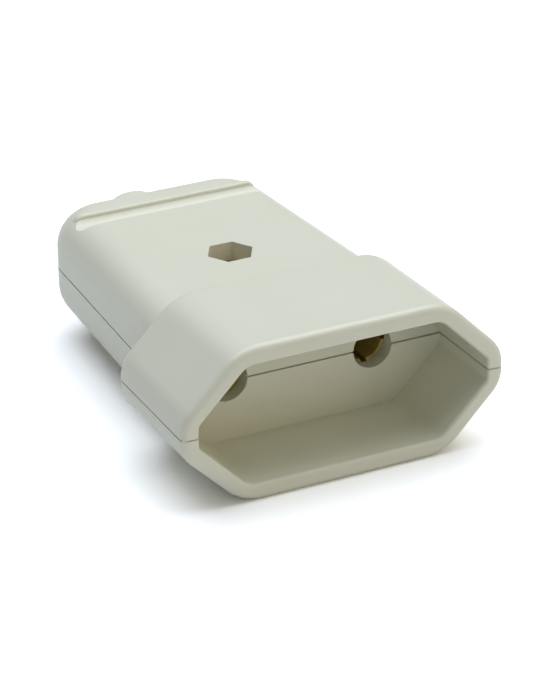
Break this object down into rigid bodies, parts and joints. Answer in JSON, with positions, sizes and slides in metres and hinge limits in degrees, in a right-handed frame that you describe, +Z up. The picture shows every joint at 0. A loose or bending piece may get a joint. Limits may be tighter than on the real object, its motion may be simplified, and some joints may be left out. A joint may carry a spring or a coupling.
{
  "type": "in-line socket",
  "caption": "In-line mains socket for a flat two-pin plug: two off-white moulded half shells with a hexagonal plug recess, round a pair of sprung brass contacts and a cord clamp.",
  "frame": {"origin": "middle of the width and of the length, at the lowest line of the collar", "axes": "+Y from the mouth towards the cord, +X to the right seen from the mouth, +Z up, with the parting plane level"},
  "size_m": [0.0416, 0.0596, 0.0195],
  "materials": {
    "shell_plastic": "moulded off-white thermoplastic, semi-gloss",
    "contact_brass": "turned brass",
    "spring_steel": "drawn spring wire",
    "plated_steel": "bright zinc plate",
    "clamp_plastic": "moulded, matt"
  },
  "bodies": {
    "root": {"upper_shell": "shell_plastic", "lower_shell": "shell_plastic", "left_contact": "contact_brass", "right_contact": "contact_brass", "left_contact_spring": "spring_steel", "right_contact_spring": "spring_steel", "left_terminal_screw": "plated_steel", "right_terminal_screw": "plated_steel", "cord_clamp_bar": "clamp_plastic", "cord_clamp_screws": "plated_steel", "assembly_screw": "plated_steel", "hexagon_nut": "plated_steel"}
  },
  "joints": []
}
